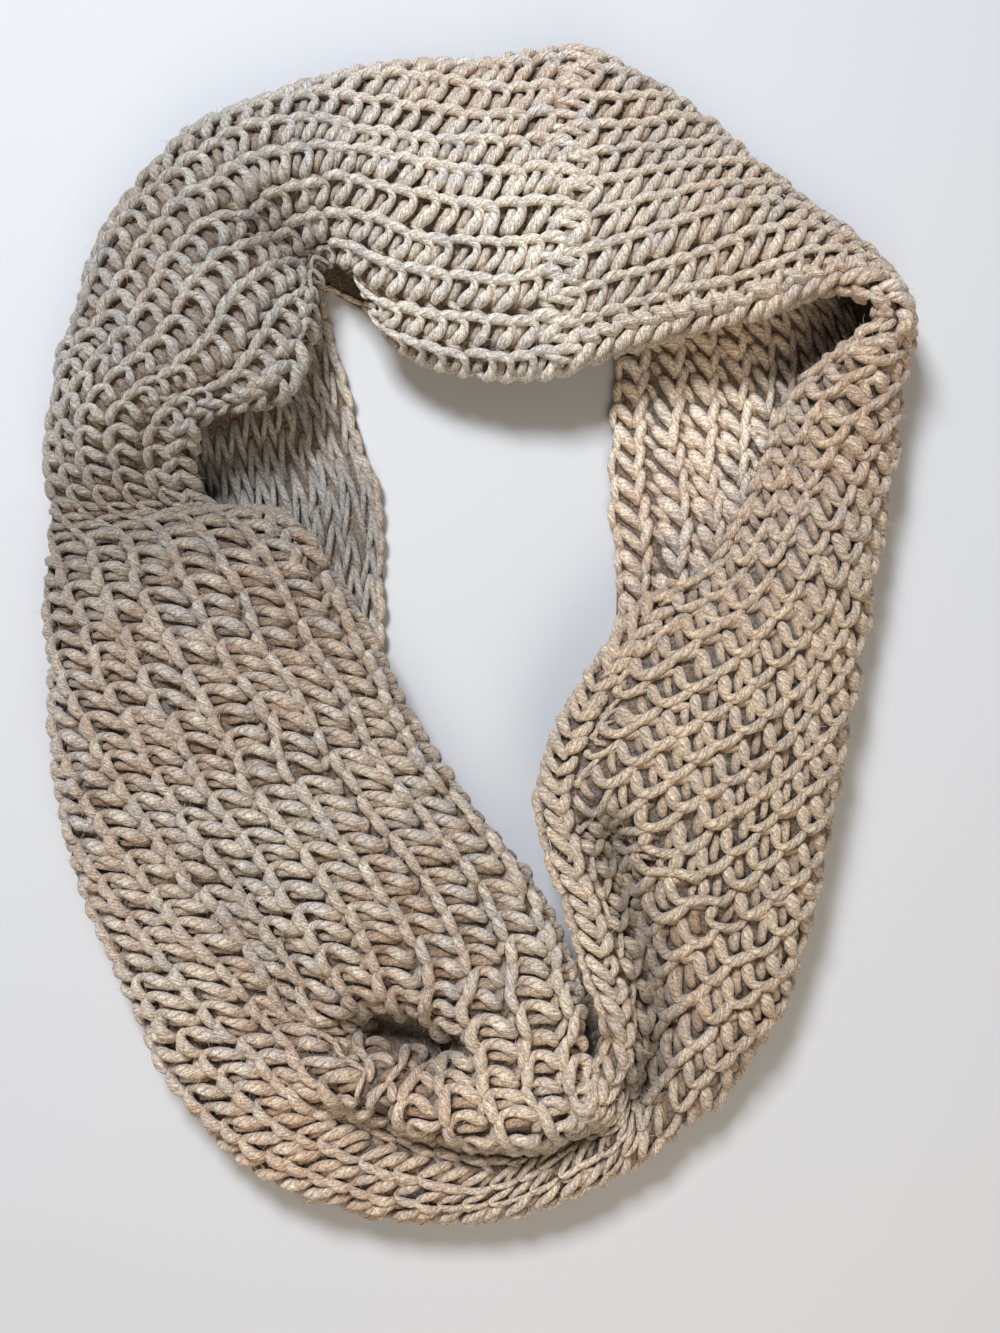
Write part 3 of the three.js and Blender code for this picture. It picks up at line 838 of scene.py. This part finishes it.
def yarn_material(group):
    """Plied wool: strands that twist along the yarn, with fibres that follow them."""
    material, wool, shader = new_material("heather_wool_yarn")
    along = wool.stored("along", "Fac")
    turn = wool.add("ShaderNodeSeparateXYZ", {"Vector": wool.stored("turn", "Vector")})
    x, y = turn["X"], turn["Y"]
    phase = wool.math("MULTIPLY", along, 2 * math.pi / PLY_PITCH_M)
    cosine, sine = wool.math("COSINE", phase), wool.math("SINE", phase)
    turned_x = wool.math("SUBTRACT", wool.math("MULTIPLY", x, cosine), wool.math("MULTIPLY", y, sine))
    turned_y = wool.math("ADD", wool.math("MULTIPLY", x, sine), wool.math("MULTIPLY", y, cosine))
    cube = wool.math("MULTIPLY", wool.math("POWER", turned_x, 3.0), 4.0)
    strand = wool.math("SUBTRACT", cube, wool.math("MULTIPLY", turned_x, 3.0))
    ply = wool.spread(strand, -1.0, -0.2, kind="SMOOTHSTEP")
    scaled = (("X", turned_x, 4.0), ("Y", turned_y, 4.0), ("Z", along, 230.0))
    streaks = {axis: wool.math("MULTIPLY", value, scale) for axis, value, scale in scaled}
    streaks = wool.add("ShaderNodeCombineXYZ", streaks)["Vector"]
    colour, fibre = place_heather(wool, group, (WOOL_LIGHT, WOOL_WARM, WOOL_COOL), 1.0, streaks)
    # Painted shade in the grooves between the plies.
    colour = wool.mix(PLY_SHADE, colour, wool.grey(ply), "MULTIPLY")
    # The stored dye holds painted shade and painted light along with the wool's own colour.
    colour = wool.mix(1.0, colour, wool.stored("dye", "Color"), "MULTIPLY")
    # Painted shade: yarn that lies low in the knit is darkened.
    raised = wool.spread(wool.stored("lift", "Fac"), -0.3, 1.05, kind="SMOOTHSTEP")
    depth = wool.mix(raised, WOOL_PAINTED_SHADE_IN_THE_DEPTH, UNDIMMED)
    height = wool.math("ADD", wool.math("MULTIPLY", ply, 0.5), wool.math("MULTIPLY", fibre, 0.9))
    wool.fill(shader, {
        "Base Color": wool.mix(1.0, colour, depth, "MULTIPLY"),
        "Normal": wool.bump(height, strength=0.7, distance=0.0008),
        "Roughness": 0.92,
        "Specular IOR Level": 0.15,
        "Sheen Weight": 0.35,
        "Sheen Roughness": 0.5,
    })
    return material


def backing_material(group):
    """The depth of the knit, seen between its loops, painted dark as shade."""
    material, knit, shader = new_material("knit_depth")
    fine = knit.add("ShaderNodeMapping", {"Vector": knit.object_place(), "Scale": (700, 700, 700)})["Vector"]
    tones = [(*(BACKING_PAINTED_SHADE * c for c in tone[:3]), 1) for tone in (WOOL_WARM, WOOL_WARM, WOOL_COOL)]
    colour, fibre = place_heather(knit, group, tones, 0.8, fine)
    normal = knit.bump(fibre, strength=0.8, distance=0.001)
    looks = {"Base Color": colour, "Normal": normal, "Roughness": 0.95, "Specular IOR Level": 0.1}
    knit.fill(shader, looks)
    return material


def fibre_material():
    """The single fibres of the fuzz, some paler than others."""
    material, hair, shader = new_material("stray_fibre")
    colour = hair.mix(hair.noise(hair.object_place(), scale=60.0, detail=2.0), WOOL_WARM, FIBRE_PALE)
    hair.fill(shader, {"Base Color": colour, "Roughness": 0.9, "Specular IOR Level": 0.1})
    return material


# Pieces

# Half the backing's thickness, its grid, and where it thickens past the outer fold, in ribs.
BACKING_HALF = 0.8
BACKING_STEPS_A_STITCH, BACKING_COUNTS_A_RIB = 2, 3
THICKER_START, THICKER_RUN = 1.0, 2.5


def make_backing(band, material):
    """The plain knit under the loops: one closed shell that follows the band all round."""
    stitches = np.arange(STITCHES * BACKING_STEPS_A_STITCH) / BACKING_STEPS_A_STITCH
    counts = np.arange(RIBS * BACKING_COUNTS_A_RIB + 1) / BACKING_COUNTS_A_RIB
    stitch, count = np.meshgrid(stitches, counts, indexing="ij")
    under = smooth((count - band.over(stitch) - THICKER_START) / THICKER_RUN)
    outer = band.at(stitch, count, BACKING_HALF + (WALL / 2 - BACKING_HALF) * under)
    inner = band.at(stitch, count, np.full(stitch.shape, -BACKING_HALF))
    outer[..., 2] = np.maximum(outer[..., 2], 0.0)
    inner[..., 2] = np.maximum(inner[..., 2], WALL / 2)
    ring = np.concatenate([outer, inner[:, ::-1]], axis=1)
    n, m = ring.shape[:2]
    index = np.arange(n * m).reshape(n, m)
    ahead = np.roll(index, -1, axis=0)
    faces = np.stack([index, np.roll(index, -1, axis=1), np.roll(ahead, -1, axis=1), ahead], axis=-1)
    return mesh_piece("knit_backing", ring.reshape(-1, 3) * MM, faces.reshape(-1, 4), material)


def mesh_piece(name, points, faces, material):
    mesh = bpy.data.meshes.new(name)
    mesh.from_pydata(points.tolist(), [], faces.tolist())
    mesh.polygons.foreach_set("use_smooth", np.ones(len(mesh.polygons), bool))
    mesh.materials.append(material)
    mesh.update()
    return add_object(name, mesh)


def stitches_on(band, ribs, run, keep, wide=1):
    """The stitches along every rib, a run apart (or runs by place), that a test keeps and that have room."""
    grid = np.arange(STITCHES * STEPS_A_STITCH + 1) / STEPS_A_STITCH
    runs = run if np.isscalar(run) else np.interp(band.place(grid[:-1]), *np.transpose(run))
    stitches, counts, spans = [], [], []
    for rib in ribs:
        line = band.read(band.points, grid, np.full(len(grid), max(rib, 0) + 0.5))
        along = summed(np.linalg.norm(np.diff(line, axis=0), axis=1) / runs)
        ends = np.linspace(0.0, along[-1], max(round(along[-1]), 1) + 1)
        places = np.interp(ends, along, grid)
        stitches.append(places[:-1])
        spans.append(np.diff(places))
        counts.append(np.full(len(places) - 1, float(rib)))
    stitch, rib, span = (np.concatenate(part) for part in (stitches, counts, spans))
    room = wide * band.pitch(stitch + span / 2, np.maximum(rib, 0.0) + 0.5) > NO_ROOM_PITCH
    kept = keep(stitch, rib) & room
    return stitch[kept], rib[kept], span[kept]


def by_stretch(band, lines, build, stitches, into):
    """Sorts yarn into the stretches that it lies on. Past the last start it is on the first one again."""
    names = [row[0] for row in SECTIONS]
    starts = [names.index(start) for _node, start in (*STRETCHES[1:], STRETCHES[0])]
    where = np.searchsorted(starts, band.place(stitches), side="right") % len(STRETCHES)
    for k, (node, _start) in enumerate(STRETCHES):
        mine = where == k
        if mine.any():
            into[node].append((lines[mine], build[mine]))


# Where each kind of stitch lies. Ribs past the outer fold are counted from it, and places in sections.
OVER_THE_FOLD = 5.0
LOWEST_STITCH = 6.0
CROWDED_RIBS = 3
PAST_THE_FOLD = 0.8
DEEPEST_SIGHT = 30.0
CHAINED_EDGES = ((5.2, 10.8), (15.6, 21.1), (24.6, 29.6))
STRETCHED_COLUMNS = (2.5, 15.5)
COLUMN_PURL_PITCH = 11.0
SIDE_PITCH = 7.5
# Stitches are left out of the pocket where its fold is deeper than this, so the dark backing shows there as
# painted shade.
POCKET_DARK = -15.0

# The yarn's thickness in each kind of stitch, and the sides that its tube has.
BAR_THICKNESS = 0.95
COLUMN_THICKNESS = 0.95
STRETCHED_THICKNESS = 0.64
COLUMN_PURL_THICKNESS = 0.8
CHAIN_THICKNESS = 1.05
HEM_THICKNESS = 0.85
SEAM_THICKNESS = 0.85
RIB_SIDES, TUCK_SIDES, COLUMN_SIDES, SEAM_SIDES = 7, 5, 6, 8


def knit_yarn(band, tree, material):
    """The yarn of each stretch: a piece for its ribs, one for the loops behind, and one for its columns."""
    rng = np.random.default_rng(SEED)
    ribs, tucks, columns = ({node: [] for node, _start in STRETCHES} for _kind in range(3))
    pocket = [fold for fold in FOLDS if fold[0] == "pocket"]

    def shows(stitch, rib):
        here = band.at(stitch, np.maximum(rib, 0.0) + 0.5)
        in_pocket = fold_height(here[:, :2], pocket) < POCKET_DARK
        on_top = rib + 0.5 < band.over(stitch)
        on_the_side = (rib + 0.5 < band.over(stitch) + OVER_THE_FOLD) & (here[:, 2] > LOWEST_STITCH)
        return (on_top | on_the_side) & ~in_pocket

    def crowded(stitch, rib):
        here = band.at(stitch, rib + CROWDED_RIBS / 2)
        first = np.floor(rib - band.over(stitch)) % CROWDED_RIBS == 0
        narrow = band.pitch(stitch, rib + 0.5) <= NO_ROOM_PITCH
        return first & narrow & (rib > band.over(stitch)) & (here[:, 2] > LOWEST_STITCH)

    def chained(stitch):
        place = band.place(stitch)
        return np.any([(place >= first) & (place <= last) for first, last in CHAINED_EDGES], axis=0)

    def lies_in_sight(stitch, rib):
        under = rib + 0.5 > band.over(stitch) + PAST_THE_FOLD
        rim, fold = band.at(stitch, 0.0 * rib), band.at(stitch, band.over(stitch))
        here = band.at(stitch, rib + 0.5)
        outwards = (fold - rim)[:, :2]
        covered = np.sum((here - rim)[:, :2] * outwards, axis=1) / np.linalg.norm(outwards, axis=1)
        return under & (covered < DEEPEST_SIGHT)

    def rimmed(stitch, rib):
        return shows(stitch, rib) & ((rib > 0) | ~chained(stitch))

    def stretched(stitch):
        place = band.place(stitch)
        return (place > STRETCHED_COLUMNS[0]) & (place < STRETCHED_COLUMNS[1])

    def in_column(stitch, rib):
        return lies_in_sight(stitch, rib) & ~stretched(stitch)

    def in_stretched_column(stitch, rib):
        return lies_in_sight(stitch, rib) & stretched(stitch)

    def has_purl(stitch, rib):
        return in_column(stitch, rib) & (band.pitch(stitch, rib + 0.5) > COLUMN_PURL_PITCH)

    def has_side(stitch, rib):
        return band.pitch(stitch, rib + 0.5) > SIDE_PITCH

    def lay(shape, laid, face, samples, thickness, into, wide=1):
        lines, build = stitch_lines(band, shape, *laid, face, rng, samples, thickness, wide)
        by_stretch(band, lines, build, laid[0], into)

    laid = stitches_on(band, range(0, RIBS), STITCH_RUNS, rimmed)
    place = band.place(laid[0])[:, None, None]
    upright, railed = share_within(place, UPRIGHT_PLACES), share_within(place, RAILED_PLACES)
    loops = np.array(HOOKED_LOOP) + (np.array(UPRIGHT_LOOP) - HOOKED_LOOP) * upright
    loops = loops + (np.array(RAILED_LOOP) - HOOKED_LOOP) * railed
    lay(loops, laid, "rib", LOOP_SAMPLES, 1.0, ribs)
    tucked = np.array(TUCKED_LOOP) + FULL_TUCK * share_within(place, FULL_TUCK_PLACES)
    lay(tucked, laid, "rib", BAR_SAMPLES, BAR_THICKNESS, tucks)
    laid = stitches_on(band, range(-1, RIBS), STITCH_RUNS, shows)
    lay(PURL_BAR, laid, "rib", BAR_SAMPLES, BAR_THICKNESS, tucks)
    laid = stitches_on(band, range(0, RIBS - CROWDED_RIBS), STITCH_RUNS, crowded, CROWDED_RIBS)
    lay(HOOKED_LOOP, laid, "rib", BAR_SAMPLES, 1.0, ribs, CROWDED_RIBS)
    lay(PURL_BAR, laid, "rib", BAR_SAMPLES, BAR_THICKNESS, tucks, CROWDED_RIBS)

    laid = stitches_on(band, range(0, RIBS), COLUMN_STITCH_RUN, in_column)
    for leg in (COLUMN_FAT_LEG, COLUMN_THIN_LEG):
        lay(leg, laid, "column", LEG_SAMPLES, COLUMN_THICKNESS, columns)
    halves = np.arange(2 * RIBS) / 2
    laid = stitches_on(band, halves, STRETCHED_STITCH_RUN, in_stretched_column)
    stagger = rng.random(len(halves))[np.round(2 * laid[1]).astype(int)]
    laid = (laid[0] + laid[2] * stagger, *laid[1:])
    for leg in (STRETCHED_LOW_LEG, STRETCHED_HIGH_LEG):
        lay(leg, laid, "stretched", LEG_SAMPLES, STRETCHED_THICKNESS, columns)
    laid = stitches_on(band, range(0, RIBS - 1), COLUMN_STITCH_RUN, has_purl)
    lay(COLUMN_PURL, laid, "column", BAR_SAMPLES, COLUMN_PURL_THICKNESS, columns)

    rim = stitches_on(band, (0,), CHAIN_STITCH_RUN, lambda stitch, _rib: chained(stitch))
    for leg in (CHAIN_INNER_LEG, CHAIN_OUTER_LEG):
        lay(leg, rim, "chain", LEG_SAMPLES, CHAIN_THICKNESS, ribs)
    rim = stitches_on(band, (0,), CHAIN_STITCH_RUN, has_side)
    lay(CHAIN_SIDE, rim, "chain", LEG_SAMPLES, 1.0, ribs)
    hem = stitches_on(band, (RIBS - 1,), COLUMN_STITCH_RUN, lambda stitch, _rib: stitch >= 0)
    lay(HEM_RAIL, hem, "column", LEG_SAMPLES, HEM_THICKNESS, columns)

    pieces = []
    kinds = (("ribs", ribs, RIB_SIDES), ("tucks", tucks, TUCK_SIDES), ("columns", columns, COLUMN_SIDES))
    for label, batches, sides in kinds:
        for node, _start in STRETCHES:
            piece = polyline_object(node.replace("stretch", label), batches[node])
            pieces.append(run_tree(piece, tree, {"Sides": sides, "Material": material}))
    return pieces


SEAM_ARCH = (
    (-0.75, 0.00, 0.20, 0.80),
    (-0.40, 0.06, 1.00, 1.00),
    (0.05, 0.16, 1.35, 1.00),
    (0.45, 0.28, 1.05, 1.00),
    (0.80, 0.36, 0.20, 0.80),
)
SEAM_ARCHES_A_RIB = 2


def sew_seam(band, tree, material):
    """The seam that closes the loop: small arches of yarn from one end of the band to the other."""
    rng = np.random.default_rng(SEED + 1)
    ribs = np.arange(0.1, band.over(0.0) + 2.0, 1 / SEAM_ARCHES_A_RIB)
    ends, spans = np.zeros(len(ribs)), np.ones(len(ribs))
    sewing = stitch_lines(band, SEAM_ARCH, ends, ribs, spans, "seam", rng, LEG_SAMPLES, SEAM_THICKNESS)
    piece = polyline_object("seam_sewing", [sewing])
    return run_tree(piece, tree, {"Sides": SEAM_SIDES, "Material": material})


SHORTEST_FIBRE, LONGEST_FIBRE = 0.35, 1.5
FIBRE_DENSITY = 90000.0
FIBRE_LEAN = 0.9
FIBRE_SHAPE = ((0.0, 0.0), (0.5, 1.3), (1.9, 2.2))
FIBRE_HALF_WIDTH = 0.06


def make_fibre():
    """One stray fibre, a bent sliver about 3 mm long."""
    points, faces = [], []
    for k, (side, up) in enumerate(FIBRE_SHAPE):
        width = FIBRE_HALF_WIDTH * (1.0 - k / len(FIBRE_SHAPE))
        points += [(side, -width, up), (side, width, up)]
        if k:
            faces.append((2 * k - 2, 2 * k - 1, 2 * k + 1, 2 * k))
    mesh = bpy.data.meshes.new("fibre")
    mesh.from_pydata((np.array(points) * MM).tolist(), [], faces)
    return bpy.data.objects.new("fibre", mesh)


def over_the_surface(piece):
    """Lifts whatever has gone through the surface that the scarf lies on."""
    points = np.zeros(len(piece.data.vertices) * 3, np.float32)
    piece.data.vertices.foreach_get("co", points)
    points[2::3] = np.maximum(points[2::3], 0.0)
    piece.data.vertices.foreach_set("co", points)
    piece.data.update()
    return piece


def make_fuzz(yarn, material):
    """The halo of stray fibres over the yarn."""
    tree = fibre_tree()
    fibre = make_fibre()
    pieces = []
    for k, source in enumerate(yarn):
        piece = add_object(f"fuzz_on_{source.name}", source.data.copy())
        values = {
            "Fibre": fibre,
            "Density": FIBRE_DENSITY,
            "Shortest": SHORTEST_FIBRE,
            "Longest": LONGEST_FIBRE,
            "Lean": FIBRE_LEAN,
            "Seed": SEED + k,
            "Material": material,
        }
        pieces.append(over_the_surface(run_tree(piece, tree, values)))
    bpy.data.objects.remove(fibre)
    return pieces


# The scene round it

EYE_MM = (9.0, -117.7, 659.5)
TILT_DEGREES = 8.0
LENS_MM = 40.0
SENSOR_MM = 36.0


def add_camera():
    data = bpy.data.cameras.new("camera")
    data.sensor_fit = "VERTICAL"
    data.sensor_height = SENSOR_MM
    data.lens = LENS_MM
    data.clip_start = 0.01
    camera = add_object("camera", data)
    camera.location = [c * MM for c in EYE_MM]
    camera.rotation_euler = (math.radians(TILT_DEGREES), 0, 0)
    bpy.context.scene.camera = camera


def add_light(name, place, size, power, colour):
    """A soft square light that faces the middle of the scarf."""
    data = bpy.data.lights.new(name, "AREA")
    data.size = size
    data.energy = power
    data.color = colour
    lamp = add_object(name, data)
    lamp.location = place
    x, y, z = place
    lamp.rotation_euler = (math.atan2(math.hypot(x, y), z), 0, math.atan2(x, -y))


FLOOR_HALF_M = 3.0


def add_stage():
    scene = bpy.context.scene
    material, paint, shader = new_material("pale_floor")
    paint.fill(shader, {"Base Color": (0.62, 0.62, 0.61, 1), "Roughness": 0.8})
    corners = np.array([(-1, -1, 0), (1, -1, 0), (1, 1, 0), (-1, 1, 0)], float) * FLOOR_HALF_M
    floor = mesh_piece("floor", corners, np.array([(0, 1, 2, 3)]), material)
    world = bpy.data.worlds.new("soft_room")
    world.use_nodes = True
    sky = world.node_tree.nodes["Background"]
    Nodes(world.node_tree).fill(sky, {"Color": (0.86, 0.90, 1.0, 1), "Strength": 0.15})
    scene.world = world
    add_light("window", (-0.36, 0.70, 1.30), size=0.40, power=24.0, colour=(0.92, 0.97, 1.08))
    add_light("room", (0.25, -0.9, 1.1), size=0.8, power=8.5, colour=(1.0, 0.87, 0.70))
    scene.view_settings.view_transform = "Standard"


def main():
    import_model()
    add_camera()
    add_stage()
    band = KnitBand()
    heather = heather_group()
    wool = yarn_material(heather)
    spin = yarn_tree()
    backing = make_backing(band, backing_material(heather))
    yarn = knit_yarn(band, spin, wool)
    yarn.append(sew_seam(band, spin, wool))
    fuzz = make_fuzz([piece for piece in yarn if "tucks" not in piece.name], fibre_material())
    for piece in (backing, *yarn, *fuzz):
        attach(piece, "root")
    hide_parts(*(node for node, _start in STRETCHES))


main()
